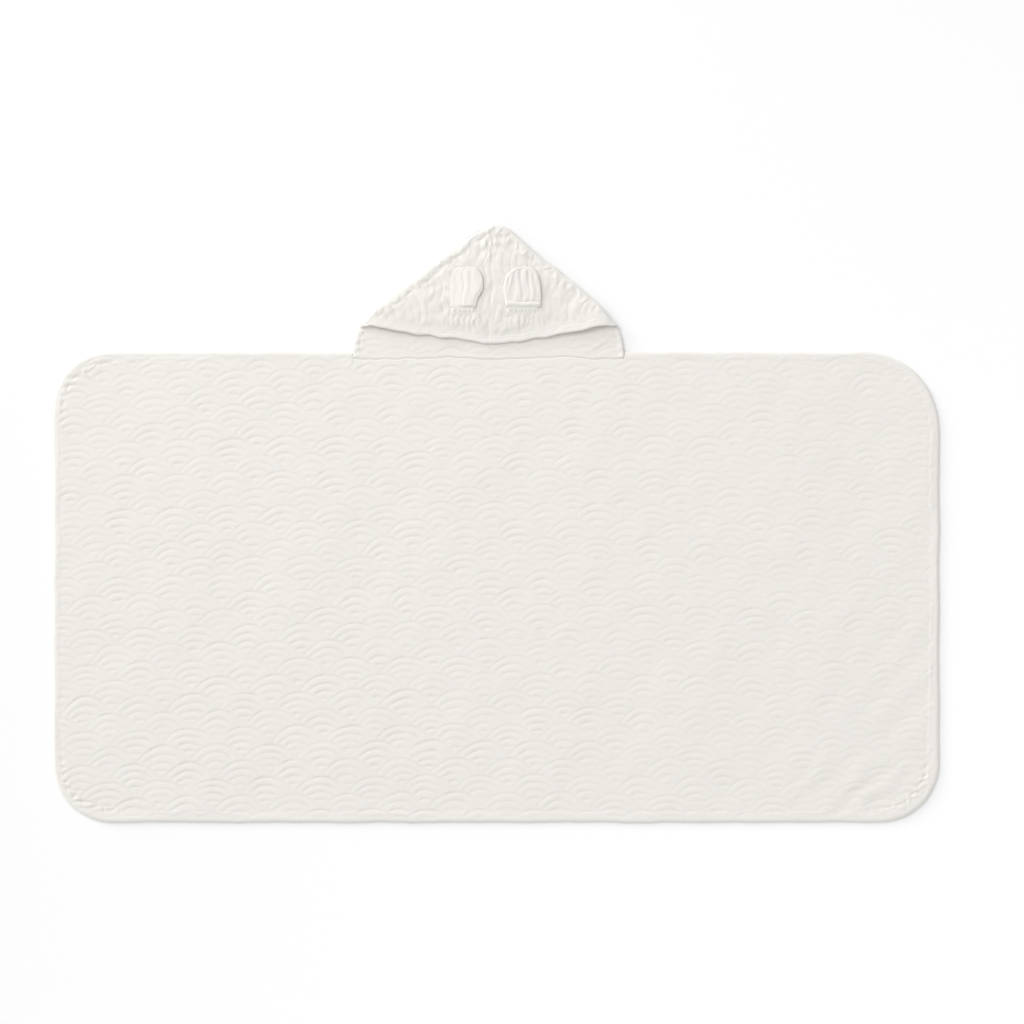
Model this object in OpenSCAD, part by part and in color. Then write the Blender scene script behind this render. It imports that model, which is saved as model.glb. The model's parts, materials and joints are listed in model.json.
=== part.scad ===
// Hooded baby towel, lying flat with its inner face up.
// +Z is up, +Y runs from the lower edge to the hood's peak, and the origin is at the
// middle of the whole outline, on the surface that the towel lies on.

/* [Towel body] */
// Width of the body, side to side
body_w = 1200; // [900:10:1500]
// Length of the body, from its upper edge to its lower edge
body_l = 637; // [560:1:750]
// Radius of three of the body's corners
corner_r = 80; // [40:1:120]
// Radius of the upper right corner, which is cut rounder
wide_corner_r = 103; // [40:1:120]
// Thickness of the terry cloth
cloth_t = 4; // [3:0.5:5]

/* [Edge binding] */
// Width of the binding on each face
binding_w = 15; // [8:0.5:18]
// Thickness of the binding over the cloth
binding_t = 0.6; // [0.4:0.1:1]

/* [Hood] */
// Half of the hood's width at the neck seam
neck_half = 184; // [180:1:200]
// Height of the hood's peak above the neck seam
hood_h = 181; // [175:1:200]
// Distance of the neck seam below the body's upper edge
neck_drop = 9; // [4:0.5:12]
// Radius of the rounded peak
peak_r = 35; // [20:1:45]
// Sideways shift of the hood from the body's middle
hood_x = -10; // [-20:1:20]
// Height of the mouth's middle above the neck seam
mouth_h = 20; // [15:1:30]
// Height of the pocket at the mouth's middle
pocket_h = 10; // [8:1:14]
// Width of the binding on the mouth's rim
rim_w = 9.5; // [7:0.5:12]

/* [Ears] */
// Width of an ear at its widest
ear_w = 50; // [40:1:56]
// Width of an ear at its base
ear_base_w = 34; // [26:1:40]
// Length of an ear from its base to its tip
ear_l = 57; // [45:1:65]
// Height of the ears' base above the neck seam
ear_h = 67; // [60:1:74]
// Distance of the left ear's middle from the hood's centre seam
left_ear_x = 29; // [28:1:40]
// Distance of the right ear's middle from the hood's centre seam
right_ear_x = 47; // [30:1:50]

/* [Hidden] */
$fn = 64;
gap = 0.15;              // half of the gap between cloths on either side of a fold
thread_t = 0.4;          // height of a line of stitches over the cloth
thread_w = 0.8;          // width of a line of stitches
hem_inset = 1;           // the cloth's raw edge stops this far inside its binding
stitch_in = 2.4;         // distance from a binding's inner edge to its topstitch
total_l = body_l + hood_h - neck_drop;
neck_y = total_l / 2 - hood_h;
body_y = neck_y + neck_drop - body_l / 2;   // middle of the body
cloth_z = binding_t;     // underside of the lower cloth, which its binding holds up
cloth_top = cloth_z + cloth_t;
binding_top = cloth_top + binding_t;

corner_x = 176;          // corner of the mouth, from the hood's centre
corner_y = 43;
bend_x = 145;            // where the slanted edge straightens
bend_y = 76;
waist_y = 14;            // where the hood's side starts to lean in
edge_angle = 38.4;       // slope of the hood's slanted edge
peak_y = hood_h - peak_r;
edge_n = [sin(edge_angle), cos(edge_angle)];
edge_d = peak_r + peak_y * edge_n[1];   // distance of the slanted edge from the hood's origin
front_z = cloth_top + 1.4;              // underside of the hood's front along its slanted edge
mouth_drop = (corner_y - mouth_h) / pow(corner_x, 2);
lift_angle = asin(pocket_h / (edge_d - mouth_h * edge_n[1]));

overlock_in = 2;         // overlocked seam: its distance from the slanted edge
overlock_w = 6;
overlock_t = 0.7;
side_binding_w = 8;
side_binding_end = 36;   // stops short of the mouth's corner
ear_t = 6;               // ear with its rolled rim
ear_floor_t = 3.2;       // ear's shell inside the rim
ear_rim_w = 4;
lining_t = 2;
ear_start = 4;           // the ear begins this far past its fold line
ear_gap = 0.3;
ear_widest = 0.55;       // share of the ear's length at which it is widest
tuck_w = 7;              // tuck at the ear's base
tuck_t = 3.6;
tuck_gap = 1;
steps = 12;

terry = "ivory";
trim = "oldlace";
thread = "silver";

// Points along an arc, from angle a0 to a1
function arc(cx, cy, r, a0, a1) =
    [for (i = [0 : steps]) let (a = a0 + (a1 - a0) * i / steps) [cx + r * cos(a), cy + r * sin(a)]];

// One corner of the body at (sx, sy), its arc starting at angle a0
function body_corner(sx, sy, r, a0, inset) =
    arc(sx * (body_w / 2 - r), body_y + sy * (body_l / 2 - r), r - inset, a0, a0 + 90);

// The body's outline, moved in by inset
function body_outline(inset) = concat(
    body_corner(1, 1, wide_corner_r, 0, inset),
    body_corner(-1, 1, corner_r, 90, inset),
    body_corner(-1, -1, corner_r, 180, inset),
    body_corner(1, -1, corner_r, 270, inset));

function mirrored(points) =
    [for (i = [len(points) - 1 : -1 : 0]) [-points[i][0], points[i][1]]];

// The hood's slanted edge from its bend to the peak, moved in by inset
function slanted_edge(inset) = concat(
    [[bend_x, bend_y] - inset * edge_n],
    arc(0, peak_y, peak_r - inset, 90 - edge_angle, 90));

// The hood's right side from the neck seam to the peak, its lower part moved in by inset
function hood_side(inset) = concat(
    [[neck_half - inset, gap], [neck_half - inset, waist_y], [corner_x - inset, corner_y]],
    slanted_edge(0));

function hood_outline(inset) = concat(hood_side(inset), mirrored(hood_side(inset)));

// Height of the mouth's curve above the neck seam, at x from the hood's centre
function mouth_y(x) = mouth_h + mouth_drop * x * x;

function mouth_curve(from_x, to_x, rise) =
    [for (i = [0 : steps]) let (x = from_x + (to_x - from_x) * i / steps) [x, mouth_y(x) + rise]];

// Half of an ear's width at share t of its length, moved in by inset
function ear_half(t, inset) = let (s = min(1, t / ear_widest))
    (ear_base_w + (ear_w - ear_base_w) * s * (2 - s)) / 2
    * sqrt(1 - pow(max(0, t - ear_widest) / (1 - ear_widest), 2)) - inset;

function ear_side(inset) =
    [for (i = [0 : 2 * steps]) let (t = i / (2 * steps) * 0.995)
        [max(0.2, ear_half(t, inset)), ear_start + inset + t * (ear_l - ear_start - 2 * inset)]];

module at_hood() {
    translate([hood_x, neck_y, 0]) children();
}

// Tilts a piece of the hood's front about its slanted edge, so that it rises towards the
// middle of the mouth. side is 1 for the right half and -1 for the left.
module lifted(side) {
    foot = edge_d * edge_n;
    at_hood()
        mirror([side < 0 ? 1 : 0, 0, 0])
            translate([foot[0], foot[1], front_z])
                rotate([0, 0, -edge_angle])
                    rotate([-lift_angle, 0, 0])
                        rotate([0, 0, edge_angle])
                            translate([-foot[0], -foot[1], 0]) children();
}

// The notch in the body's upper edge that the hood is sewn into, from its foot upwards
module neck_notch(foot, side_gap) {
    translate([hood_x - neck_half - side_gap, foot])
        square([2 * (neck_half + side_gap), 3 * binding_w]);
}

// A flat ring along the body's edge between two insets, open where the hood joins
module edge_ring(outer, inner) {
    difference() {
        polygon(body_outline(outer));
        polygon(body_outline(inner));
        neck_notch(neck_y - binding_w, 0.5);
    }
}

module panel_solid() {
    translate([0, 0, cloth_z]) linear_extrude(cloth_t) difference() {
        polygon(body_outline(hem_inset));
        neck_notch(neck_y - gap, 0.5);
    }
}

module towel_panel() {
    color(terry) panel_solid();
}

module edge_binding() {
    color(trim) difference() {
        linear_extrude(binding_top) edge_ring(0, binding_w);
        panel_solid();
    }
}

module binding_topstitch() {
    inset = binding_w - stitch_in;
    color(thread) translate([0, 0, binding_top])
        linear_extrude(thread_t) edge_ring(inset, inset + thread_w);
}

module neck_seam_thread() {
    color(thread) at_hood() translate([-neck_half + 4, -3.2, cloth_top])
        cube([2 * neck_half - 8, thread_w, thread_t]);
}

module back_solid() {
    translate([0, 0, cloth_z]) linear_extrude(cloth_t) polygon(hood_outline(hem_inset));
}

module hood_back() {
    color(terry) at_hood() back_solid();
}

module side_binding(side) {
    color(trim) at_hood() mirror([side < 0 ? 1 : 0, 0, 0]) difference() {
        linear_extrude(binding_top) intersection() {
            difference() {
                polygon(hood_outline(0));
                polygon(hood_outline(side_binding_w));
            }
            translate([0, 1.5]) square([neck_half, side_binding_end - 1.5]);
        }
        back_solid();
    }
}

module overlock_seam(side) {
    color(thread) at_hood() mirror([side < 0 ? 1 : 0, 0, 0])
        translate([0, 0, cloth_top]) linear_extrude(overlock_t) intersection() {
            difference() {
                offset(delta = -overlock_in) polygon(hood_outline(0));
                offset(delta = -overlock_in - overlock_w) polygon(hood_outline(0));
            }
            translate([0.2, corner_y]) square([corner_x, hood_h]);
        }
}

module front_solid() {
    linear_extrude(cloth_t) polygon(concat(
        mouth_curve(0, corner_x - hem_inset, hem_inset),
        slanted_edge(hem_inset)));
}

module hood_front(side) {
    color(terry) lifted(side) front_solid();
}

// A strip along the mouth's rim, between two distances from its edge
module rim_strip(low, high) {
    end_x = corner_x - 6;
    polygon(concat(mouth_curve(0, end_x, low), mouth_curve(end_x, 0, high)));
}

module rim_binding(side) {
    color(trim) lifted(side) difference() {
        translate([0, 0, -binding_t]) linear_extrude(cloth_t + 2 * binding_t) rim_strip(0, rim_w);
        front_solid();
    }
}

module rim_topstitch(side) {
    low = rim_w - stitch_in;
    color(thread) lifted(side) translate([0, 0, cloth_t + binding_t])
        linear_extrude(thread_t) rim_strip(low, low + thread_w);
}

module centre_seam_thread() {
    start = peak_y + peak_r - 6;
    run = start - mouth_h - rim_w;
    slope = atan(pocket_h / (hood_h - mouth_h));
    rise = front_z + sin(lift_angle) * (edge_d - start * edge_n[1]) + cloth_t;
    color(thread) at_hood() translate([0, start, rise + 0.1])
        rotate([-slope, 0, 0]) translate([-1.5, -run, 0]) cube([3, run, thread_t]);
}

// Puts a piece on the hood's front at an ear's base
module at_ear(side) {
    lifted(side) translate([side < 0 ? left_ear_x : right_ear_x, ear_h, cloth_t]) children();
}

module ear_tuck(side) {
    color(terry) at_ear(side) translate([-ear_base_w / 2, -tuck_gap - tuck_w, 0])
        cube([ear_base_w, tuck_w, tuck_t]);
}

module ear_stitches(side) {
    count = 9;
    pitch = (ear_base_w - 4) / count;
    color(thread) at_ear(side) for (i = [0 : count - 1])
        translate([(i - count / 2 + 0.15) * pitch, -tuck_gap - tuck_w / 2, tuck_t])
            cube([pitch * 0.7, thread_w, thread_t]);
}

module ear_shell(side) {
    color(terry) at_ear(side) translate([0, 0, ear_gap]) difference() {
        linear_extrude(ear_t) polygon(concat(ear_side(0), mirrored(ear_side(0))));
        translate([0, 0, ear_floor_t]) linear_extrude(ear_t)
            polygon(concat(ear_side(ear_rim_w), mirrored(ear_side(ear_rim_w))));
    }
}

module ear_lining(side) {
    inset = ear_rim_w + 0.2;
    color(trim) at_ear(side) translate([0, 0, ear_gap + ear_floor_t])
        linear_extrude(lining_t) polygon(concat(ear_side(inset), mirrored(ear_side(inset))));
}

towel_panel();
edge_binding();
binding_topstitch();
neck_seam_thread();
hood_back();
side_binding(-1);  // side_binding_left
side_binding(1);  // side_binding_right
overlock_seam(-1);  // overlock_seam_left
overlock_seam(1);  // overlock_seam_right
hood_front(-1);  // hood_front_left
hood_front(1);  // hood_front_right
centre_seam_thread();
rim_binding(-1);  // rim_binding_left
rim_binding(1);  // rim_binding_right
rim_topstitch(-1);  // rim_topstitch_left
rim_topstitch(1);  // rim_topstitch_right
ear_tuck(-1);  // ear_tuck_left
ear_tuck(1);  // ear_tuck_right
ear_stitches(-1);  // ear_stitches_left
ear_stitches(1);  // ear_stitches_right
ear_shell(-1);  // ear_shell_left
ear_lining(-1);  // ear_lining_left
ear_shell(1);  // ear_shell_right
ear_lining(1);  // ear_lining_right
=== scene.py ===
"""Hooded baby towel, lying flat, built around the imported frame.

Lengths are millimetres until make_mesh() turns them into metres. The names of the outline's
dimensions are those of the CAD source. Hood coordinates are counted from the middle of the
neck seam, with y towards the hood's peak.
"""
import json
import math

import bpy
import bmesh
import numpy as np
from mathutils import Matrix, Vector


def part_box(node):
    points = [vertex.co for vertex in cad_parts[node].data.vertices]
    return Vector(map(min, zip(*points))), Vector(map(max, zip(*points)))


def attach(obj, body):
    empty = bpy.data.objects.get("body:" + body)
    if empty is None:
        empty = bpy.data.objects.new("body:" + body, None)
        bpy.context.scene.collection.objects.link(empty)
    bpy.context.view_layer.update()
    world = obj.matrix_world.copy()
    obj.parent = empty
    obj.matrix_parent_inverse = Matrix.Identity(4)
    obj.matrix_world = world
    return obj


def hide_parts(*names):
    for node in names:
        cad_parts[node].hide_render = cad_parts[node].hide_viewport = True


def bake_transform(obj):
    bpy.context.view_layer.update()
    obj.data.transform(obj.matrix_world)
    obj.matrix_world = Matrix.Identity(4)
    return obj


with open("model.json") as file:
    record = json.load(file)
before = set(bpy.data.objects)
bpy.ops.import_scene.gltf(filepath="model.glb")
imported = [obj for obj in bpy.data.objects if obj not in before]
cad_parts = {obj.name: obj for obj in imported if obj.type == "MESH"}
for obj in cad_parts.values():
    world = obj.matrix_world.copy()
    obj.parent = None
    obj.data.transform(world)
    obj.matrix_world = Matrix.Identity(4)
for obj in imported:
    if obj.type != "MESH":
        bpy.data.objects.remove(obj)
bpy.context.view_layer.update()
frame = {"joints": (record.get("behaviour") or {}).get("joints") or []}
MM = 0.001

# -------------------------------------------- dimensions from the frame
joint_pos = {j["name"]: np.array(j["pos_m"]) / MM for j in frame["joints"]}
body_lo, body_hi = (np.array(c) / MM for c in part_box("edge_binding"))
HOOD_X, NECK_Y = joint_pos["hood_fold"][:2]
BODY_W = body_hi[0] - body_lo[0]
BODY_L = body_hi[1] - body_lo[1]
BODY_Y = (body_hi[1] + body_lo[1]) / 2
CORNER_R, WIDE_CORNER_R = 80.0, 103.0
# the body's corners clockwise from the upper right: sides in x and y, and radius
CORNERS = ((1, 1, WIDE_CORNER_R), (1, -1, CORNER_R), (-1, -1, CORNER_R), (-1, 1, CORNER_R))
NECK_HALF = 184.0
HOOD_H = joint_pos["hood_open"][1] - NECK_Y
PEAK_R = 35.0
PEAK_Y = HOOD_H - PEAK_R
EDGE_ANGLE = math.radians(38.4)
EDGE_N = np.array([math.sin(EDGE_ANGLE), math.cos(EDGE_ANGLE)])
EDGE_D = PEAK_R + PEAK_Y * EDGE_N[1]
MOUTH_H, CORNER_X, CORNER_Y = 20.0, 176.0, 43.0
RIM_W = 9.5
EAR_X = {"left": 29.0, "right": 47.0}
EAR_H, EAR_W, EAR_L = 67.0, 50.0, 57.0
FLOOR_Z = 0.6           # underside of the cloth
TOP_Z = 4.6             # upper face of the cloth
HALF_T = (TOP_Z - FLOOR_Z) / 2
MID_Z = FLOOR_Z + HALF_T
PITCH = 1.6             # spacing of the cloth's grid lines
SEAM_GAP = 0.05         # between the neck seam's line and the cloth on either side of it
STITCH_IN = 2.5         # distance of the hem's topstitch from the hem's inner edge
RIM_STITCH_IN = 2.4     # the same on the rim of the hood's mouth

# -------------------------------------------- small maths


def smooth(t):
    """0 below t = 0, 1 above 1, and a smooth step between."""
    t = np.clip(t, 0, 1)
    return t * t * (3 - 2 * t)


def hill(t):
    """1 at t = 0, falling smoothly to 0 at 1 on either side."""
    return smooth(1 - np.abs(t))


def bell(t):
    """1 at t = 0, with soft tails."""
    return np.exp(-(t * t))


def side_of(sign):
    return "left" if sign < 0 else "right"


def field(x, y, seed, size, count=9):
    """A smooth random field of about unit strength, with features of about that size."""
    r = np.random.default_rng(seed)
    turn = r.uniform(0, 2 * math.pi, count)
    k = 2 * math.pi / (size * r.uniform(0.7, 1.5, count))
    phase = r.uniform(0, 2 * math.pi, count)
    total = 0
    for a, b, c in zip(turn, k, phase):
        total = total + np.cos(b * (x * math.cos(a) + y * math.sin(a)) + c)
    return total * math.sqrt(2 / count)


def unit(vectors):
    return vectors / np.linalg.norm(vectors, axis=1, keepdims=True)


def arc(cx, cy, r, a0, a1, count=40):
    """Points of a circle's arc, from one angle in degrees to another."""
    a = np.radians(np.linspace(a0, a1, count))
    return np.stack([cx + r * np.cos(a), cy + r * np.sin(a)], -1)


def polyline_length(points):
    """Length from a polyline's start to each of its points."""
    return np.concatenate([[0], np.cumsum(np.linalg.norm(np.diff(points, axis=0), axis=1))])


def along(points, share):
    """Points at these shares of a polyline's length."""
    s = polyline_length(points)
    at = np.asarray(share) * s[-1]
    return np.stack([np.interp(at, s, points[:, k]) for k in range(points.shape[1])], -1)


def soften(points, window, step=1.0):
    """A polyline with its corners rounded by a moving average."""
    length = polyline_length(points)[-1]
    count = max(8, int(length / step))
    p = along(points, np.linspace(0, 1, count))
    half = max(1, int(window / step / 2))
    padded = np.concatenate([2 * p[0] - p[half:0:-1], p, 2 * p[-1] - p[-2:-half - 2:-1]])
    kernel = np.ones(2 * half + 1) / (2 * half + 1)
    out = np.stack([np.convolve(padded[:, k], kernel, "valid") for k in range(2)], -1)
    out[0], out[-1] = p[0], p[-1]
    return out


def stations(length, step, soft_start=False, soft_end=False):
    """Shares of a length for grid lines, closer together at a soft end. Their number of
    steps divides by four, so that an underside with a quarter of the lines can be joined on."""
    close = [0, 0.35, 0.9, 1.6, 2.6]
    head = close if soft_start else [0]
    tail = close if soft_end else [0]
    extra = len(head) + len(tail) - 2
    count = max(4, int(round((length - head[-1] - tail[-1]) / step)))
    while (count + extra) % 4:
        count += 1
    middle = np.linspace(head[-1], length - tail[-1], count + 1)
    lines = np.concatenate([head[:-1], middle, [length - t for t in tail[:-1]][::-1]])
    return lines / length


def coons(bottom, top, left, right, us, vs):
    """Grid between four boundary curves, as arrays x and y."""
    b, t = along(bottom, us)[None], along(top, us)[None]
    l, r = along(left, vs)[:, None], along(right, vs)[:, None]
    u, v = us[None, :, None], vs[:, None, None]
    grid = ((1 - v) * b + v * t + (1 - u) * l + u * r
            - (1 - u) * (1 - v) * b[:, :1] - u * (1 - v) * b[:, -1:]
            - (1 - u) * v * t[:, :1] - u * v * t[:, -1:])
    return grid[..., 0], grid[..., 1]


def inside_distance(x, y, outline):
    """Distance of each point to an outline, as a dense polyline."""
    dense = along(outline, np.linspace(0, 1, int(polyline_length(outline)[-1] / 0.8)))
    flat = np.stack([x.ravel(), y.ravel()], -1)
    best = np.empty(len(flat))
    for i in range(0, len(flat), 8000):
        d = flat[i:i + 8000, None, :] - dense[None]
        best[i:i + 8000] = (d * d).sum(-1).min(1)
    return np.sqrt(best).reshape(x.shape)


# -------------------------------------------- the cloth's wave relief
ROW, COLUMN = 23.05, 72.6         # spacing of the rows of fans and of the fans in a row
FAN_R, RING, SHRINK = 40.4, 10.3, 0.65
VALLEY_IN, VALLEY_W = 1.9, 1.6    # a groove's place inside its ring line, and its half width
RELIEF = 0.54                     # depth of the grooves


def across(u, row):
    """Distance sideways from the nearest fan's middle in a row, and that fan's number."""
    column = u / COLUMN - 0.5 * (row % 2)
    near = np.round(column)
    return (column - near) * COLUMN, near


def fan_grooves(u, v):
    """Share of full depth, 0 to 1, of overlapping fans of arcs. Each fan's top is a circle's
    arc, the lower row lies over the upper one, and the rings inside shrink towards the foot."""
    row = np.ceil(v / ROW)
    depth = row * ROW - v
    x, near = across(u, row)
    out = np.hypot(x, FAN_R - depth) - FAN_R
    inside = out <= 0
    x_up, near_up = across(u, row + 1)
    x_low, _ = across(u, row - 1)
    out_low = np.hypot(x_low, FAN_R + ROW - depth) - FAN_R
    edge = np.where(inside, out_low, np.minimum(out_low, np.abs(out)))
    x = np.where(inside, x, x_up)
    depth = np.where(inside, depth, depth + ROW)
    a = 1 - 2 * SHRINK
    across_d = depth - FAN_R
    b = 2 * (FAN_R * SHRINK - across_d * (1 - SHRINK))
    c = across_d ** 2 + x * x - FAN_R ** 2
    s = -2 * c / (b + np.sqrt(np.maximum(b * b - 4 * a * c, 1e-6)))
    t = np.mod(s, RING)
    slant = x / (FAN_R - SHRINK * s)
    feet = 1 - 0.5 * smooth((np.abs(slant) - 0.35) / 0.5) - 0.14 * smooth(slant / 0.5)
    valley = np.maximum(bell((t - VALLEY_IN) / VALLEY_W), bell((t - VALLEY_IN - RING) / VALLEY_W))
    valley = valley * smooth(edge / 3.0)
    rim = bell((edge + VALLEY_IN) / VALLEY_W)
    fan = np.where(inside, near * 12.9898 + row * 78.233, near_up * 12.9898 + (row + 1) * 78.233)
    chance = np.abs(np.sin(fan) * 4375.85) % 1
    return np.maximum(valley, rim) * feet, chance


def relief(x, y, turn=0.0, seed=1, shift=(0.0, 0.0)):
    """Depth, 0 to about 1, of the pattern woven into the cloth."""
    c, s = math.cos(turn), math.sin(turn)
    u, v = c * x + s * y + shift[0], -s * x + c * y + shift[1]
    u, v = u - 0.04 * v, v + 4.05e-5 * u * u
    u = u + 1.1 * field(x, y, seed, 70)
    v = v + 1.0 * field(x, y, seed + 1, 60)
    grooves, chance = fan_grooves(u, v)
    patchy = 0.86 + 0.2 * field(x, y, seed + 2, 45) + 0.12 * field(x, y, seed + 3, 14)
    return grooves * np.clip(patchy * (0.8 + 0.4 * chance), 0.25, 1.35)


# -------------------------------------------- meshes


def make_mesh(name, points, faces, material, tone=None):
    """points in millimetres. tone is how deep each point lies in the cloth's relief, and the material lays
    painted shade on the cloth by it.
    """
    mesh = bpy.data.meshes.new(name)
    mesh.from_pydata((np.asarray(points, float) * MM).tolist(), [], faces)
    mesh.validate()
    obj = bpy.data.objects.new(name, mesh)
    bpy.context.scene.collection.objects.link(obj)
    bm = bmesh.new()
    bm.from_mesh(mesh)
    bmesh.ops.recalc_face_normals(bm, faces=bm.faces)
    bm.to_mesh(mesh)
    bm.free()
    mesh.polygons.foreach_set("use_smooth", np.ones(len(mesh.polygons), bool))
    depth = mesh.attributes.new("groove", "FLOAT", "POINT")
    if tone is not None:
        depth.data.foreach_set("value", np.asarray(tone, np.float32).ravel())
    mesh.materials.append(material)
    mesh.update()
    return obj


def slab(name, x, y, z_top, z_low, material, tone=None, coarse=1):
    """A closed sheet from a grid: its upper face, a coarser underside and the wall between."""
    n, m = x.shape
    top = np.stack([x, y, z_top], -1).reshape(-1, 3)
    rows, cols = np.arange(0, n, coarse), np.arange(0, m, coarse)
    nl, ml = len(rows), len(cols)
    low = np.stack([x, y, z_low], -1)[np.ix_(rows, cols)].reshape(-1, 3)
    i = np.arange(n * m).reshape(n, m)
    j = (n * m + np.arange(nl * ml)).reshape(nl, ml)
    quads = np.stack([i[:-1, :-1], i[:-1, 1:], i[1:, 1:], i[1:, :-1]], -1).reshape(-1, 4)
    under = np.stack([j[:-1, :-1], j[1:, :-1], j[1:, 1:], j[:-1, 1:]], -1).reshape(-1, 4)
    faces = quads.tolist() + under.tolist()
    fine = [i[0], i[:, -1], i[-1][::-1], i[:, 0][::-1]]
    rough = [j[0], j[:, -1], j[-1][::-1], j[:, 0][::-1]]
    for f, r in zip(fine, rough):
        for k in range(len(r) - 1):
            span = f[k * coarse:(k + 1) * coarse + 1]
            faces.append([int(q) for q in span[::-1]] + [int(r[k]), int(r[k + 1])])
    depth = None
    if tone is not None:
        depth = np.concatenate([tone.ravel(), tone[np.ix_(rows, cols)].ravel()])
    return make_mesh(name, np.concatenate([top, low]), faces, material, depth)


def sweep(name, rings, material, tone=None):
    """A closed tube through rings, an array of (stations, points, 3)."""
    n, m, _ = rings.shape
    i = np.arange(n * m).reshape(n, m)
    right = np.roll(i, -1, axis=1)
    quads = np.stack([i[:-1], right[:-1], right[1:], i[1:]], -1).reshape(-1, 4)
    faces = quads.tolist() + [i[0][::-1].tolist(), i[-1].tolist()]
    return make_mesh(name, rings.reshape(-1, 3), faces, material, tone)


def stitches(name, centres, heading, length, radius):
    """Short rounded lengths of thread, a little flattened, each along its heading."""
    around, shares = 7, np.array([-1, -0.93, -0.7, 0, 0.7, 0.93, 1])
    heading = unit(heading)
    side = unit(np.cross(heading, [0, 0, 1.0]))
    up = np.cross(side, heading)
    swell = np.sqrt(1 - np.abs(shares) ** 6)
    swell[0] = swell[-1] = 0.25
    angle = np.linspace(0, 2 * math.pi, around, endpoint=False)
    length = np.broadcast_to(length, len(centres))
    forward = shares[None, :, None, None] * length[:, None, None, None] / 2
    sideways = radius * swell[None, :, None, None] * np.cos(angle)[None, None, :, None]
    upwards = 0.7 * radius * swell[None, :, None, None] * np.sin(angle)[None, None, :, None]
    rings = (centres[:, None, None] + heading[:, None, None] * forward
             + side[:, None, None] * sideways + up[:, None, None] * upwards)
    # a stitch sinks at its two ends
    rings[..., 2] -= 0.45 * radius * (shares ** 4)[None, :, None]
    size = len(shares) * around
    base = np.arange(size).reshape(len(shares), around)
    right = np.roll(base, -1, axis=1)
    one = np.stack([base[:-1], right[:-1], right[1:], base[1:]], -1).reshape(-1, 4)
    faces = []
    for first in range(0, len(centres) * size, size):
        faces += (one + first).tolist()
        faces.append((base[0][::-1] + first).tolist())
        faces.append((base[-1] + first).tolist())
    return make_mesh(name, rings.reshape(-1, 3), faces, thread_mat)


def along_curve(points, pitch):
    """Centres and headings for stitches along a polyline of 3-D points."""
    total = polyline_length(points)[-1]
    count = max(1, int(total / pitch))
    share = (np.arange(count) + 0.5) / count
    ahead = along(points, np.clip(share + 0.2 / count, 0, 1))
    behind = along(points, np.clip(share - 0.2 / count, 0, 1))
    return along(points, share), ahead - behind


# -------------------------------------------- materials


def new_material(name, roughness, specular):
    mat = bpy.data.materials.new(name)
    mat.use_nodes = True
    shader = mat.node_tree.nodes["Principled BSDF"]
    shader.inputs["Roughness"].default_value = roughness
    shader.inputs["Specular IOR Level"].default_value = specular
    return mat, mat.node_tree, shader


def maths(tree, kind, a, b):
    """A maths node on two values, each a number or another node's output."""
    node = tree.nodes.new("ShaderNodeMath")
    node.operation = kind
    for socket, value in zip(node.inputs, (a, b)):
        if isinstance(value, (int, float)):
            socket.default_value = value
        else:
            tree.links.new(value, socket)
    return node.outputs[0]


def terry(name, colour, valley, loop=0.85, bump=0.32, sheen=0.25):
    """Cotton pile: uneven loops in the bump, mottled colour, and painted shade in the grooves, where the
    darker valley colour is mixed in by the relief's depth.
    """
    mat, tree, shader = new_material(name, 0.92, 0.18)
    nodes, links = tree.nodes, tree.links
    shader.inputs["Sheen Weight"].default_value = sheen
    shader.inputs["Sheen Roughness"].default_value = 0.55
    place = nodes.new("ShaderNodeTexCoord").outputs["Object"]

    def noise(scale, detail=2.0):
        node = nodes.new("ShaderNodeTexNoise")
        node.inputs["Scale"].default_value = scale
        node.inputs["Detail"].default_value = detail
        links.new(place, node.inputs["Vector"])
        return node.outputs["Fac"]

    def mix(share, a, b):
        node = nodes.new("ShaderNodeMix")
        node.data_type = "RGBA"
        links.new(share, node.inputs[0])
        for socket, value in zip((node.inputs[6], node.inputs[7]), (a, b)):
            if isinstance(value, tuple):
                socket.default_value = (*value, 1)
            else:
                links.new(value, socket)
        return node.outputs[2]

    depth = nodes.new("ShaderNodeAttribute")
    depth.attribute_name = "groove"
    speckle = maths(tree, "MULTIPLY", maths(tree, "SUBTRACT", noise(430, 3.0), 0.35), 0.9)
    patch = maths(tree, "MULTIPLY", noise(9), 0.35)
    warm = tuple(c * f for c, f in zip(colour, (0.965, 0.955, 0.94)))
    ground = mix(maths(tree, "ADD", speckle, patch), colour, warm)
    # painted shade: the darker valley colour darkens the grooves, in step with the relief's depth
    groove_shade_share = maths(tree, "MULTIPLY", depth.outputs["Fac"], 0.75)
    links.new(mix(groove_shade_share, ground, valley), shader.inputs["Base Color"])
    loops = nodes.new("ShaderNodeTexVoronoi")
    loops.inputs["Scale"].default_value = 1000 / loop
    loops.inputs["Randomness"].default_value = 0.85
    links.new(place, loops.inputs["Vector"])
    pile = maths(tree, "MULTIPLY", loops.outputs["Distance"], -0.7)
    height = maths(tree, "ADD", pile, noise(520, 3.0))
    lump = nodes.new("ShaderNodeBump")
    lump.inputs["Strength"].default_value = 0.55
    lump.inputs["Distance"].default_value = bump * MM
    links.new(height, lump.inputs["Height"])
    links.new(lump.outputs["Normal"], shader.inputs["Normal"])
    return mat


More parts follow.
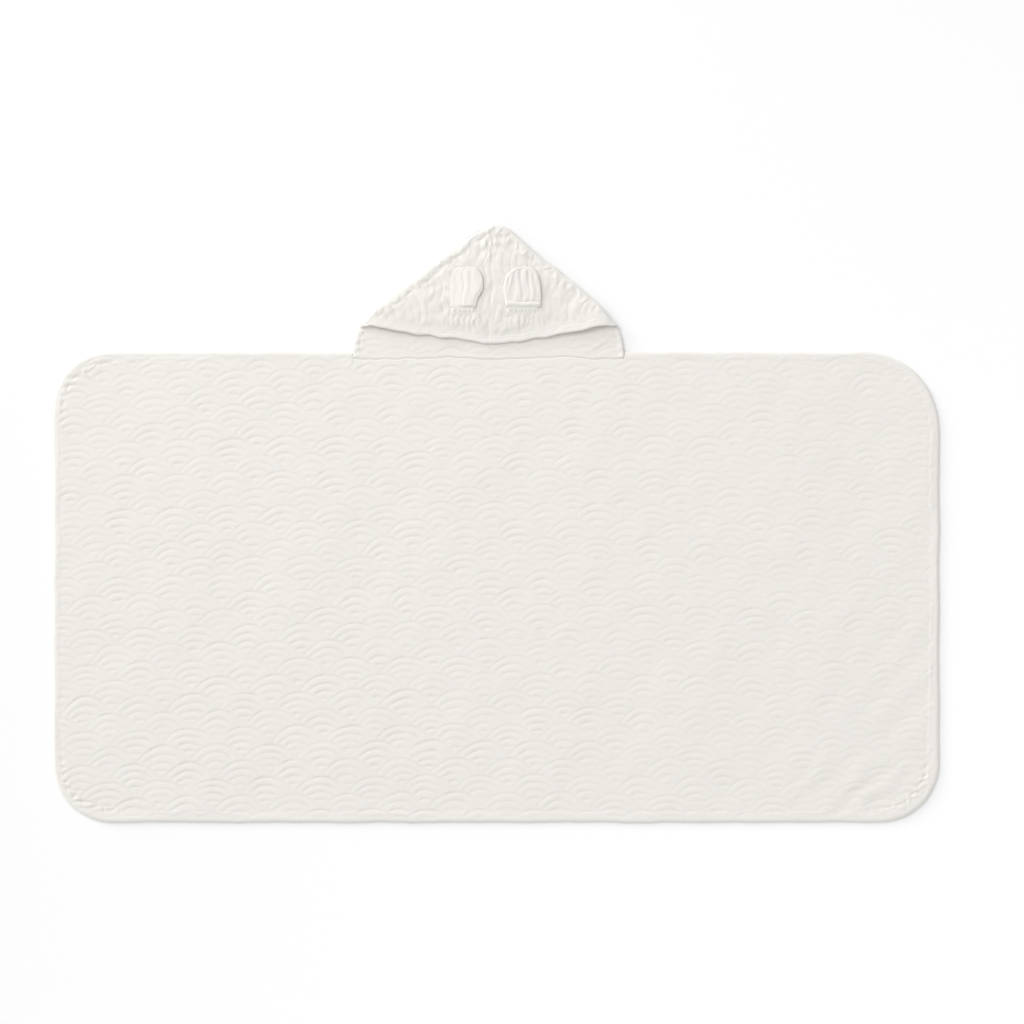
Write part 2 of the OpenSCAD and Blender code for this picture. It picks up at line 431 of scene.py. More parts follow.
IVORY = (0.765, 0.744, 0.710)
# Each terry material's second colour is the painted shade of its grooves.
cloth_mat = terry("ivory_terry", IVORY, (0.715, 0.690, 0.652))
edge_mat = terry("ivory_terry_edge", (0.768, 0.747, 0.714), (0.725, 0.70, 0.664), loop=0.7, bump=0.25)
rim_mat = terry("ivory_rim", (0.775, 0.755, 0.724), (0.73, 0.705, 0.67), loop=0.55, bump=0.16)
lining_mat = terry("blush_lining", (0.752, 0.716, 0.688), (0.71, 0.665, 0.64), loop=0.5, bump=0.12,
                   sheen=0.1)
pale_lining_mat = terry("ivory_lining", (0.766, 0.740, 0.706), (0.71, 0.675, 0.645), loop=0.5,
                        bump=0.12, sheen=0.1)
thread_mat = terry("ivory_thread", (0.755, 0.735, 0.70), (0.70, 0.675, 0.64), loop=0.3, bump=0.08,
                   sheen=0.1)

# -------------------------------------------- towel body


def body_distance(x, y):
    """Distance inwards from the body's outline, with the notch for the hood left out."""
    dx, dy = np.abs(x) - BODY_W / 2, np.abs(y - BODY_Y) - BODY_L / 2
    r = np.where((x > 0) & (y > BODY_Y), WIDE_CORNER_R, CORNER_R)
    qx, qy = dx + r, dy + r
    return r - (np.hypot(np.maximum(qx, 0), np.maximum(qy, 0)) + np.minimum(np.maximum(qx, qy), 0))


def corner_nearness(x, y):
    """How much each point belongs to a rounded corner: upper left, lower left and lower right
    pucker, and the upper right hardly does."""
    total = 0
    for cx, cy, share in ((-555, 190, 1.0), (-558, -362, 0.9), (560, -362, 0.8), (545, 180, 0.25)):
        total = total + share * bell(np.hypot(x - cx, y - cy) / 58)
    return total


def hem_width(x, y):
    """The hem is widest along the lower edge and narrowest at the left."""
    low = smooth((BODY_Y - y) / 260)
    left = smooth((-x - 520) / 60)
    right = smooth((x - 520) / 60)
    return (13.6 + 2.8 * low * (1 - left) - 1.6 * left + 1.2 * right
            + 0.45 * field(x, y, 31, 60) + 0.3 * field(x, y, 32, 17))


def panel_swell(x, y):
    """Slow unevenness of cloth that has been washed and smoothed out by hand."""
    swell = 0.35 * field(x, y, 11, 170) + 0.22 * field(x, y, 12, 70) + 0.07 * field(x, y, 13, 22)
    diagonal = (x - y) / math.sqrt(2)
    corner = bell((x - 500) / 95) * bell((y + 362) / 42)
    swell += 0.95 * np.sin(diagonal / 6.1 + 0.5 * field(x, y, 14, 50)) * corner
    swell += 0.5 * np.sin(diagonal / 7.3 + 1.0) * bell((x - 545) / 60) * bell((y + 230) / 120)
    return swell


def panel_relief(x, y):
    """The weave lies a little skewed, and its pattern fades from left to right."""
    fade = 1.02 - 0.3 * smooth((x + 300) / 800) + 0.16 * smooth((-y - 60) / 260) * smooth((250 - x) / 500)
    a, b = x / 490, (y + 63) / 191
    skewed_x = x + 39.9 + 2.7 * a - 1.8 * a * a - 0.95 * b + 1.9 * a * b
    skewed_y = y - 6.4 - 1.2 * a - 0.95 * a * a
    return relief(skewed_x, skewed_y, seed=1) * fade


def neck_wave(x):
    """The neck seam isn't quite straight."""
    wave = 0.8 * field(x, 0 * x, 41, 75, 5) + 0.4 * field(x, 0 * x, 42, 21, 5)
    return wave * smooth((NECK_HALF - np.abs(x - HOOD_X)) / 14)


def panel_grid():
    """Grid over the towel's cloth, which ends inside the hem, and which of its columns end at
    the neck seam. Its lines bend to follow the rounded corners."""
    inset = 3.4
    half_w, half_l = BODY_W / 2 - inset, BODY_L / 2 - inset
    us = stations(2 * half_w, PITCH)
    vs = stations(2 * half_l, PITCH, soft_end=True)
    x, y = np.meshgrid((us - 0.5) * 2 * half_w, (vs - 0.5) * 2 * half_l)
    for sx, sy, r in CORNERS:
        r = r - inset
        a, b = x * sx - (half_w - r), y * sy - (half_l - r)
        here = (a > 0) & (b > 0)
        pull_x, pull_y = (np.sqrt(np.maximum(0, 1 - c * c / (2 * r * r))) for c in (b, a))
        x = np.where(here, sx * (half_w - r + a * pull_x), x)
        y = np.where(here, sy * (half_l - r + b * pull_y), y)
    y = y + BODY_Y
    top_y = BODY_Y + half_l
    drop = top_y - (NECK_Y - SEAM_GAP)
    in_notch = np.abs(x - HOOD_X) < NECK_HALF + 0.6
    reach = 60      # the cloth below the seam takes up the drop over this length
    y = y - np.where(in_notch, drop - neck_wave(x), 0) * np.clip((y - (top_y - reach)) / reach, 0, 1)
    return x, y, in_notch


def rounded(distance, radius=2.4, least=0.22):
    """Share of a cloth's half thickness at a distance from its edge."""
    t = 1 - np.clip(distance / radius, 0, 1)
    return np.maximum(least, np.sqrt(1 - t * t))


def build_panel():
    x, y, in_notch = panel_grid()
    d = body_distance(x, y)
    w = hem_width(x, y)
    neck = np.where(in_notch, NECK_Y - SEAM_GAP + neck_wave(x) - y, 99.0)
    at_neck = in_notch & (neck < 30)
    open_cloth = np.where(at_neck, 1.0, smooth((d - (w - 4.5)) / 4.0))
    depth = panel_relief(x, y) * open_cloth * smooth((neck - 1.5) / 4)
    pucker = corner_nearness(x, y)
    at_hem = np.where(at_neck, 0, hill((d - (w + 0.2)) / 2.4))
    z = TOP_Z - RELIEF * depth + open_cloth * (0.55 * panel_swell(x, y))
    gathers = 0.28 * pucker * np.clip(1 - 1.3 * crease(x, y), 0, 2)
    low_corner = 0.3 * bell(np.hypot(x - 565, y + 368) / 45)
    z -= at_hem * (0.04 + 0.06 * field(x, y, 53, 12) + gathers + low_corner)
    z += 0.6 * pucker * crease(x, y) * hill((d - w - 0.5) / 7)
    z -= 0.3 * (1 - open_cloth) + 0.7 * (1 - smooth(d / 7)) * (1 - open_cloth)
    roll = rounded(neck, 2.6, 0.66)
    thread_line = hill((neck - 2.9) / 1.9)
    z = MID_Z + (z - MID_Z) * roll - 0.3 * thread_line
    low = MID_Z - HALF_T * roll
    return slab("towel_cloth", x, y, z, low, cloth_mat, depth, coarse=4)


def hem_path():
    """The body's outline from the hood's right side clockwise to its left side, with the
    inward direction at each point."""
    top = BODY_Y + BODY_L / 2
    end = NECK_HALF + 0.2
    parts = [[[HOOD_X + end, top]]]
    for (sx, sy, r), start in zip(CORNERS, (90, 0, -90, 180)):
        parts.append(arc(sx * (BODY_W / 2 - r), BODY_Y + sy * (BODY_L / 2 - r), r, start, start - 90))
    parts.append([[HOOD_X - end, top]])
    line = np.concatenate(parts)
    total = polyline_length(line)[-1]
    # closer together at the two ends, so that the end faces stay crisp
    close = np.array([0, 0.25, 0.7, 1.4])
    middle = np.linspace(2.4, total - 2.4, int(total / 2.2))
    p = along(line, np.concatenate([close, middle, total - close[::-1]]) / total)
    t = unit(np.gradient(p, axis=0))
    return p, np.stack([t[:, 1], -t[:, 0]], -1)


def crease(x, y):
    """Short slanting creases, as in cloth gathered into a corner."""
    return np.sin((0.97 * y - 0.24 * x) / 1.65 + 0.8 * field(x, y, 51, 25)) + 0.4 * field(x, y, 52, 9)


def hem_top(x, y, n, w):
    """Height of the hem's upper face at n inwards from its outer edge. Its inner edge sinks
    just under the towel's surface, so that the two meet in a crease."""
    share = np.clip(n / w, 0, 1)
    base = TOP_Z + 0.55 * panel_swell(x, y) * smooth((share - 0.3) / 0.5)
    crown = 0.02 + 0.14 * bell((share - 0.5) / 0.35) - 0.55 * (1 - smooth((n + 1) / 6))
    groove = 0.08 * hill((n - (w - STITCH_IN)) / 1.5)
    sink = 0.24 * smooth((n - (w - 3.6)) / 3.6)
    pucker = corner_nearness(x, y)
    uneven = 0.06 * field(x, y, 61, 11) + 0.08 * field(x, y, 62, 38)
    ruffle = 0.62 * pucker * crease(x, y) * hill((share - 0.95) / 0.55)
    ruffle += uneven * smooth((share - 0.1) / 0.4) * smooth((1.15 - share) / 0.4)
    weave = 0.8 * RELIEF * panel_relief(x, y) * smooth((share - 0.15) / 0.4)
    return base + crown - groove - sink + ruffle - weave


def hem_wobble(p):
    """How far the hem strays from the body's outline."""
    return 0.38 * field(*p.T, 63, 90) + 0.12 * field(*p.T, 64, 28)


def build_hem():
    """The folded strip: its upper face from the inner edge outwards, round the edge, its
    lower face, and back along the inside of the fold."""
    p, inward = hem_path()
    w = hem_width(*p.T)
    wobble = hem_wobble(p)
    top_share = (1.0, 0.985, 0.955, 0.91, 0.865, 0.82, 0.77, 0.7, 0.62, 0.54, 0.46, 0.38, 0.31, 0.25, 0.2)
    turn = np.radians(np.linspace(80, -90, 10))
    rings, tones = [], []

    def add(n, z):
        q = p + inward * (n + wobble)[:, None]
        rings.append(np.column_stack([q, np.broadcast_to(z, len(q))]))
        # the hem's grooves get a weaker painted shade
        tones.append(0.35 * panel_relief(*q.T))

    radius = 2.2
    for share in top_share:
        n = share * w
        q = p + inward * n[:, None]
        add(n, hem_top(*q.T, n, w))
    for a in turn:
        half = 1.95 if a > 0 else 2.1
        add(radius * (1 - math.cos(a)), 2.15 + half * math.sin(a))
    for n, z in ((0.45, 0.05), (0.75, 0.05), (1.0, 0.12), (1.0, 0.5), (0.75, 0.5), (0.35, 0.5)):
        add(n * w, z)
    for n, z in ((1.9, 0.8), (1.0, 2.0), (1.9, 3.2), (4.0, 3.7)):
        add(n, z)
    for n in (0.6, 0.9, 0.99):
        q = p + inward * (n * w)[:, None]
        add(n * w, np.minimum(4.12, hem_top(*q.T, n * w, w) - 0.25))
    return sweep("hem_roll", np.stack(rings, 1), edge_mat, np.stack(tones, 1))


def build_hem_stitches():
    p, inward = hem_path()
    w = hem_width(*p.T)
    n = w - STITCH_IN
    q = p + inward * (n + hem_wobble(p))[:, None]
    flat = p + inward * n[:, None]
    z = hem_top(*flat.T, n, w) - 0.16
    row = along_curve(np.column_stack([q, z]), 3.4)
    return stitches("hem_topstitch", *row, 2.5, 0.38)


def build_neck_stitches():
    x = np.linspace(HOOD_X - NECK_HALF + 3, HOOD_X + NECK_HALF - 3, 400)
    y = NECK_Y - 3.0 + neck_wave(x)
    z = TOP_Z - 0.35 + 0.55 * panel_swell(x, y)
    row = along_curve(np.stack([x, y, z], -1), 3.6)
    return stitches("neck_topstitch", *row, 2.6, 0.4)


# -------------------------------------------- hood


TANGENT = 90 - math.degrees(EDGE_ANGLE)     # where the peak's arc meets the slanted edge


def mouth_y(x):
    """Lower edge of the hood's front, in hood coordinates. The cloth has crept up a little on
    both sides of the middle, more so on the right."""
    creep = np.where(x < 0, 5.2 * (1 - bell(x / 26)), 6.9 * (1 - bell(x / 78)))
    return MOUTH_H + (CORNER_Y - MOUTH_H) * x * x / CORNER_X ** 2 \
        + creep * smooth((CORNER_X + 2 - np.abs(x)) / 22)


def side_line(inset, from_y):
    """The hood's right side from from_y up to where the peak's arc starts."""
    start = arc(0, PEAK_Y, PEAK_R - inset, TANGENT, TANGENT + 1, 2)[:1]
    line = np.concatenate([
        [[NECK_HALF - inset, from_y], [NECK_HALF - inset, max(14.0, from_y)],
         [CORNER_X - inset, CORNER_Y]],
        [np.array([145.0, 76.0]) - inset * EDGE_N], start])
    return soften(line, 16)


def flipped(points):
    return points * np.array([-1, 1])


def lean(y):
    """How far the soft hood leans to the right towards its peak."""
    return 4 * smooth((y - 45) / 60) + 5 * smooth((y - 135) / 46)


def to_world(x, y):
    """Hood coordinates to the frame's: the hood leans, and its cloth isn't quite straight."""
    free = smooth(y / 20)
    return (x + lean(y) + 0.55 * field(x, y, 95, 34) * free + HOOD_X,
            y + 0.55 * field(x, y, 96, 34) * free * smooth((HOOD_H - y) / 20) + NECK_Y)


def placed(x, y, z):
    """Points of the frame, from hood coordinates and a height."""
    wx, wy = to_world(x, y)
    return np.stack([wx, wy, np.broadcast_to(z, wx.shape)], -1)


def back_swell(x, y):
    swell = 0.35 * field(x, y, 71, 80) + 0.15 * field(x, y, 72, 26)
    # a diagonal pucker at the right, above the neck seam
    along_it = (x - 150) * 0.87 + (y - 19) * 0.5
    over_it = -(x - 150) * 0.5 + (y - 19) * 0.87
    swell += 1.3 * bell(over_it / 2.6) * bell(along_it / 15)
    swell -= 0.6 * bell((over_it + 5) / 2.6) * bell(along_it / 15)
    return swell


def side_ruffle(x, y):
    """Small gathers at the hood's two sides."""
    near = smooth((np.abs(x) - (NECK_HALF - 22)) / 12)
    return near * (0.55 * np.sin(y / 1.75 + 0.3 * field(x, y, 73, 15) * np.sign(x))
                   + 0.3 * field(x, y, 74, 10))


def build_hood_back():
    inset = 0.8
    right = side_line(inset, SEAM_GAP)
    left = flipped(right)
    across_x = np.linspace(-NECK_HALF + inset, NECK_HALF - inset, 300)
    bottom = np.stack([across_x, SEAM_GAP + neck_wave(across_x + HOOD_X)], -1)
    top = arc(0, PEAK_Y, PEAK_R - inset, 180 - TANGENT, TANGENT)
    us = stations(2 * NECK_HALF, PITCH, True, True)
    vs = stations(polyline_length(right)[-1], PITCH, True, True)
    x, y = coons(bottom, top, left, right, us, vs)
    outline = np.concatenate([bottom, right, top[::-1], left[::-1]])
    d = inside_distance(x, y, outline)
    wx, wy = to_world(x, y)
    depth = relief(x, y, seed=5, shift=(12, 6)) * smooth((d - 2) / 5)
    uneven = 0.6 * back_swell(x, y) + 0.7 * side_ruffle(x, y)
    z = TOP_Z - 0.9 * RELIEF * depth + uneven * smooth(d / 6)
    # the cloth rolls down into the neck seam
    roll = rounded(d, 2.6, 0.66)
    z = MID_Z + (z - MID_Z) * roll
    low = MID_Z - HALF_T * roll
    return slab("hood_back_cloth", wx, wy, z, low, cloth_mat, depth, coarse=4)


def build_side_binding(sign):
    """A narrow band round the cloth at the hood's side, gathered a little."""
    y = np.linspace(1.5, 37, 40)
    line = side_line(0.0, 0.15)[:120]
    x = np.interp(y, line[:, 1], line[:, 0])
    p = np.stack([sign * x, y], -1)
    inward = np.stack([np.full(len(y), -float(sign)), np.zeros(len(y))], -1)
    w = 8 + 0.5 * np.sin(y / 2.1)
    rings = []

    def add(n, z):
        n = np.broadcast_to(n, len(y))
        q = p + inward * n[:, None]
        lift = 0.7 * side_ruffle(*q.T) * smooth(n / 5) if z > 4 else 0
        rings.append(placed(*q.T, z + lift))

    for share, z in ((1.0, 4.3), (0.95, 4.5), (0.88, 4.66), (0.76, 4.72), (0.64, 4.82), (0.5, 4.92)):
        add(share * w, z)
    for a in np.radians(np.linspace(80, -90, 8)):
        add(2.4 - 2.4 * math.cos(a), 2.6 + (2.4 if a > 0 else 2.5) * math.sin(a))
    for share, z in ((0.6, 0.1), (1.0, 0.15), (1.0, 0.5), (0.6, 0.5)):
        add(share * w, z)
    for n, z in ((1.6, 0.9), (0.7, 2.6), (1.6, 4.05), (3.0, 4.12)):
        add(n, z)
    add(0.7 * w, 4.12)
    return sweep(f"side_band_{side_of(sign)}", np.stack(rings, 1), edge_mat)


def build_overlock(sign):
    """Overlocked threads along the slanted seam, between the hood's two layers: a row of
    stitches on either side, and slanting ones across."""
    inset = 5
    peak = arc(0, PEAK_Y, PEAK_R - inset, TANGENT, 88)
    line = along(np.concatenate([side_line(inset, CORNER_Y + 2)[4:], peak]), np.linspace(0, 1, 240))
    line[:, 0] *= sign
    t = unit(np.gradient(line, axis=0))
    inward = np.stack([-t[:, 1], t[:, 0]], -1) * sign
    rows = []
    for offset in (-2.6, 2.6):
        q = line + inward * offset
        rows.append(along_curve(placed(*q.T, TOP_Z + 0.35), 2.6))
    count = 90
    k = np.linspace(2, len(line) - 3, count).astype(int)
    slant = inward[k] + 0.35 * t[k] * np.where(np.arange(count) % 2, 1, -1)[:, None]
    rows.append((placed(*line[k].T, TOP_Z + 0.45), np.column_stack([slant, np.zeros(count)])))
    centres, heading = (np.concatenate(part) for part in zip(*rows))
    length = np.concatenate([np.full(len(r[0]), 2.3 if i < 2 else 5.4) for i, r in enumerate(rows)])
    return stitches(f"overlock_{side_of(sign)}", centres, heading, length, 0.3)


def from_edge(x, y):
    """Distance inside the line of the hood's slanted edge."""
    return EDGE_D - (EDGE_N[0] * np.abs(x) + EDGE_N[1] * y)


def front_low(x, y):
    """Underside of the hood's front: it rises from the slanted seams to the mouth, and its
    rim sinks back in the middle and stays open near the two corners."""
    e = np.maximum(from_edge(x, y), 0)
    above = y - mouth_y(x)
    z = 4.95 + 1.05 * smooth(e / 9) + 0.037 * e
    rim = np.interp(x, (-176, -165, -150, -120, -90, -55, 0, 45, 85, 115, 145, 160, 172, 176),
                    (5.7, 7.0, 8.2, 7.4, 6.2, 5.6, 5.3, 5.4, 6.2, 8.2, 9.6, 8.6, 6.2, 5.7))
    return rim + (z - rim) * smooth(above / 50)


def front_thickness(x, y):
    return 4.0 - 0.75 * smooth(1 - (y - mouth_y(x)) / 40)


def front_folds(x, y, sign):
    """Gathers and creases of the hood's front, over its smooth shape."""
    e = from_edge(x, y)
    above = y - mouth_y(x)
    to_peak = np.hypot(x, y - 172)
    run = EDGE_N[1] * np.abs(x) - EDGE_N[0] * y
    z = 0.34 * field(x, y, 81 + sign, 34) + 0.17 * field(x, y, 84 + sign, 15)
    # the seam allowance inside lifts a band along the slanted edge, and it puckers
    z += 0.45 * hill((e - 5) / 7) - (0.5 + 0.3 * field(x, y, 85 + sign, 13)) * hill((e - 13) / 4.5)
    z += 0.38 * np.sin(run / 1.9 + 1.3 * field(x, y, 86 + sign, 20)) * hill((e - 9) / 12)
    # gathers round the peak
    gather = 0.3 * field(x, y * 0.7, 87 + sign, 8) + 0.24 * field(x, y, 88 + sign, 14)
    z += gather * smooth((46 - to_peak) / 26)
    # upright folds between the ears and the rim
    ear = EAR_X[side_of(sign)]
    below = bell((np.abs(x) - ear) / 26) * hill((y - EAR_H + 17) / 17)
    z += 0.42 * np.sin(x / 1.15 + 0.7 * field(x, y, 89 + sign, 18)) * below
    under_ear = hill((np.abs(x) - ear - 1) / 34) * hill((y - EAR_H - 28) / 38)
    return z * smooth((above - RIM_W) / 10) * (1 - 0.8 * smooth(under_ear * 1.6))


def front_depth(x, y, sign):
    """The weave of the hood's front runs nearly upright on both halves."""
    turn = math.radians(76) * sign
    return (0.83 - 0.17 * sign) * relief(x, y, turn=turn, seed=21 + sign, shift=(9.0, 14.0))


def build_hood_front(sign):
    inset = 0.9
    side = side_line(inset, CORNER_Y + 1.2)
    side = side[side[:, 1] >= mouth_y(sign * side[:, 0]) + 1.2]
    peak = arc(0, PEAK_Y, PEAK_R - inset, 90, TANGENT)
    peak[0, 0] = 0.03
    mx = np.linspace(0.03, side[0, 0], 80)
    bottom = np.stack([mx, mouth_y(sign * mx) + 1.4], -1)
    bottom[-1] = side[0]
    left = np.array([[0.03, bottom[0, 1]], [0.03, peak[0, 1]]])
    us = stations(polyline_length(bottom)[-1], PITCH, True, True)
    vs = stations(polyline_length(side)[-1] * 0.8, PITCH * 0.8, False, True)
    x, y = coons(bottom, peak, left, side, us, vs)
    outline = np.concatenate([bottom, side, peak[::-1], left[::-1]])
    seam = np.concatenate([side, peak[::-1]])
    d = inside_distance(x, y, seam)
    sx = sign * x
    low = front_low(sx, y)
    depth = front_depth(sx, y, sign) * smooth((d - 2) / 5) * smooth((x - 2) / 5) \
        * smooth((y - mouth_y(sx) - RIM_W) / 7)
    thick = front_thickness(sx, y)
    folds = front_folds(sx, y, sign) * smooth(d / 5) * smooth((x + 1) / 5)
    z = low + thick - RELIEF * depth + folds
    # the centre seam draws the cloth down
    z -= 0.5 * bell(x / 2.4) * smooth((y - mouth_y(sx) - 4) / 8)
    mid = low + thick / 2
    roll = rounded(d, 2.6)
    z = mid + (z - mid) * roll
    low = mid - thick / 2 * roll
    wx, wy = to_world(sx, y)
    # painted shade over the whole of each front half on top of its grooves, heavier on the left half, which
    # faces the light
    tone = depth + (0.42 if sign < 0 else 0.2)
    return slab(f"hood_front_cloth_{side_of(sign)}", wx, wy, z, low, cloth_mat, tone, coarse=4)


def rim_line(sign):
    """Half of the mouth's edge, from the middle outwards, with the directions across the rim."""
    x = np.linspace(0.05, CORNER_X - 4.5, 110)
    y = mouth_y(x * sign)
    slope = np.gradient(y, x)
    inward = np.stack([-slope * sign, np.ones_like(x)], -1) / np.sqrt(1 + slope ** 2)[:, None]
    return np.stack([x * sign, y], -1), inward


def rim_across(p, inward, n):
    """Points at n across the rim, which narrows towards the mouth's corner."""
    return p + inward * n * (1 - 0.62 * smooth((np.abs(p[:, 0]) - 146) / 26))[:, None]


def rim_top(x, y, n):
    """Height of the rim's upper face over the front's underside, at n from the mouth's edge."""
    share = n / RIM_W
    groove = 0.2 * hill((n - (RIM_W - RIM_STITCH_IN)) / 1.4)
    return 3.5 + 0.32 * bell((share - 0.35) / 0.4) - groove \
        - 0.45 * (1 - rounded(RIM_W - n, 1.0, 0.0)) + 0.1 * field(x, y, 91, 16)


def build_rim(sign):
    """The folded strip round the mouth's edge, thinner towards the corner."""
    p, inward = rim_line(sign)
    taper = 1 - 0.35 * smooth((np.abs(p[:, 0]) - 160) / 12)
    rings = []

    def add(n, z):
        q = rim_across(p, inward, n)
        rings.append(placed(*q.T, front_low(*q.T) + 1.6 + (z - 1.6) * taper))

    for share in (1.0, 0.985, 0.95, 0.9, 0.84, 0.77, 0.7, 0.6, 0.5, 0.4, 0.32):
        n = share * RIM_W
        q = p + inward * n
        add(n, rim_top(*q.T, n))
    for a in np.radians(np.linspace(78, -90, 9)):
        add(2.0 - 2.0 * math.cos(a), 1.65 + (2.08 if a > 0 else 2.05) * math.sin(a))
    for share, z in ((0.5, -0.4), (0.8, -0.4), (1.0, -0.33), (1.0, -0.08), (0.8, -0.08), (0.5, -0.08)):
        add(share * RIM_W, z)
    for n, z in ((1.9, 0.4), (0.9, 1.65), (1.9, 2.9), (3.2, 3.05), (0.6 * RIM_W, 3.05), (0.97 * RIM_W, 3.05)):
        add(n, z)
    return sweep(f"rim_band_{side_of(sign)}", np.stack(rings, 1), rim_mat)


def build_rim_stitches(sign):
    p, inward = rim_line(sign)
    n = RIM_W - RIM_STITCH_IN
    q = rim_across(p, inward, n)
    z = front_low(*q.T) + rim_top(*q.T, n) + 0.12
    row = along_curve(placed(*q.T, z)[1:-4], 3.0)
    return stitches(f"rim_topstitch_row_{side_of(sign)}", *row, 2.2, 0.34)


def build_centre_stitches():
    y = np.linspace(MOUTH_H + RIM_W + 4, HOOD_H - 7, 300)
    x = np.zeros_like(y)
    z = front_low(x, y) + front_thickness(x, y) - 0.65
    centres, heading = along_curve(placed(x, y, z), 2.6)
    turn = np.where(np.arange(len(centres)) % 2, 1.0, -1.0)
    heading = unit(heading)
    heading[:, 0] += 0.55 * turn
    return stitches("centre_seam_stitches", centres, heading, 2.5, 0.4)


# -------------------------------------------- ears
# Reach of each ear to its own left and right of its middle: at the base, and where it is widest
EAR_REACH = {"left": ((22.0, 10.5), (22.5, 22.5)), "right": ((24.0, 23.5), (26.5, 23.0))}
BASE_BAND = {"left": 1.3, "right": 4.0}     # half width of the turned-in band at the base
EAR_Y0, EAR_Y1 = 1.2, EAR_L                 # an ear's cloth, along its length


def ear_sides(side, t, inset):
    """Reach to the left and right at share t of the ear's length."""
    swell = 0.6 * smooth(t / 0.5) + 0.4 * np.clip(t / 0.46, 0, 1)
    tip = np.maximum(0, t - 0.5) / 0.5
    tip = np.maximum(0, 1 - tip ** 2.7) ** (1 / 2.3)
    (base_l, base_r), (wide_l, wide_r) = EAR_REACH[side]
    return ((base_l + (wide_l - base_l) * swell) * tip - inset,
            (base_r + (wide_r - base_r) * swell) * tip - inset)


def ear_grid(side, inset, base_inset=None):
    """Grid over an ear, narrowed by inset, with its outline."""
    low = EAR_Y0 + (inset if base_inset is None else base_inset)
    rows = np.linspace(0, 1, 53)
    t = 0.997 * (1 - (1 - rows) ** 1.45)
    left, right = ear_sides(side, t, inset)
    left, right = np.maximum(left, 0.5), np.maximum(right, 0.5)
    # the tip stays centred as it closes
    y = low + t * (EAR_Y1 - inset - low)
    s = np.linspace(-1, 1, 57)
    s = 0.55 * np.sin(s * math.pi / 2) + 0.45 * s
    middle, half = (right - left) / 2, (right + left) / 2
    x = middle[:, None] + s[None] * half[:, None]
    y = np.broadcast_to(y[:, None], x.shape)
    outline = np.concatenate([
        np.stack([right, y[:, 0]], -1), np.stack([-left, y[:, 0]], -1)[::-1],
        [[right[0], y[0, 0]]]])
    return x, y, outline


def ear_flank(side, x):
    """An ear thins towards its left edge: 1 where it has its full thickness."""
    thin, reach = (0.42, 20) if side == "left" else (0.68, 12)
    return thin + (1 - thin) * smooth((x + EAR_REACH[side][1][0]) / reach)


def ear_place(side, x, y, z):
    """From an ear's own coordinates to the frame's."""
    sign = -1 if side == "left" else 1
    hy = EAR_H + y
    hx = sign * EAR_X[side] + x - lean(hy)
    wx, wy = to_world(hx + 0.3 * sign, hy + 0.4)
    return wx, wy, front_low(hx, hy) + 4.12 + z


def ear_slab(name, side, x, y, top, low, material, tone=None):
    """A sheet with its place and heights given in an ear's own coordinates."""
    wx, wy, wz = ear_place(side, x, y, top)
    return slab(f"{name}_{side}", wx, wy, wz, ear_place(side, x, y, low)[2], material, tone, coarse=4)


def ear_lift(x, y):
    """The ear's free part stands a little off the hood, more along its right edge."""
    reach = smooth(y / EAR_L)
    return reach * 0.25 + 1.15 * smooth((x - 2) / 22) * hill((y / EAR_L - 0.45) / 0.55)


def build_ear_shell(side):
    x, y, outline = ear_grid(side, 0, 0)
    q = inside_distance(x, y, outline)
    from_base = y - EAR_Y0
    band = BASE_BAND[side]
    r = 3.0
    seed = 101 if side == "left" else 102
    share = np.clip(q / r, 0, 1)
    edge = np.where(q < r, np.sqrt(1 - (1 - share) ** 2), 1 - smooth((q - r) / 3.8))
    crown = 2.7 + 0.16 * field(x, y, seed, 15)
    floor = 1.9 + 0.12 * field(x, y, seed + 5, 9)
    if side == "left":
        crown = crown - 0.35
    else:
        crown = crown + 0.4 * smooth((-x - 6) / 16)
    z = floor + (crown - floor) * np.where(q < r, 1, edge)
    z = z * ear_flank(side, x)
    # the band turned in at the base
    across_band = (from_base - band) / band
    roll = np.sqrt(np.maximum(0, 1 - np.minimum(1, across_band ** 2)))
    height = {"left": 1.9, "right": 3.5}[side] + 0.2 * field(x, y, seed + 7, 18)
    z = np.where(from_base < 2 * band, height * (0.35 + 0.65 * roll), z)
    under = np.where(q < r, 0.45 * (1 - edge), 0.0)
    under = np.maximum(under, 1.3 * smooth(1.2 - from_base / 4))
    top_edge = np.where(q < r, under + (z - under) * (0.25 + 0.75 * edge), z)
    lift = ear_lift(x, y)
    depth = 0.3 * np.clip(field(x, y, seed + 9, 12), 0, 1)
    return ear_slab("ear_cloth", side, x, y, top_edge + lift, under + lift, cloth_mat, depth)


def build_ear_lining(side):
    band = BASE_BAND[side]
    x, y, outline = ear_grid(side, 3.2, 2 * band - 0.8)
    q = inside_distance(x, y, outline)
    seed = 105 if side == "left" else 106
    fold = 0.42 * np.sin(x / 1.75 + 0.9 * field(x * 0.6, y * 0.5, seed, 26) + 0.4) \
        + 0.3 * field(x * 2.2, y * 0.45, seed + 3, 14)
    if side == "left":
        # one deep fold down the middle of the left ear
        fold = 0.4 * fold - 0.4 * bell((x + 7 - 0.05 * y) / 1.8) + 0.3 * bell((x + 2.5 - 0.05 * y) / 2.6)
    tilt = 0.6 * smooth((x + 15) / 22) - 0.2
    flank = ear_flank(side, x)
    z = 2.5 * flank + (fold * 0.7 + tilt) * smooth(q / 3)
    low = 1.95 * flank
    roll = rounded(q, 1.3, 0.25)
    mid = (z + low) / 2
    z = mid + (z - mid) * roll
    low = mid - (mid - low) * roll
    lift = ear_lift(x, y)
    material = lining_mat if side == "right" else pale_lining_mat
    return ear_slab("ear_lining_cloth", side, x, y, z + lift, low + lift, material)


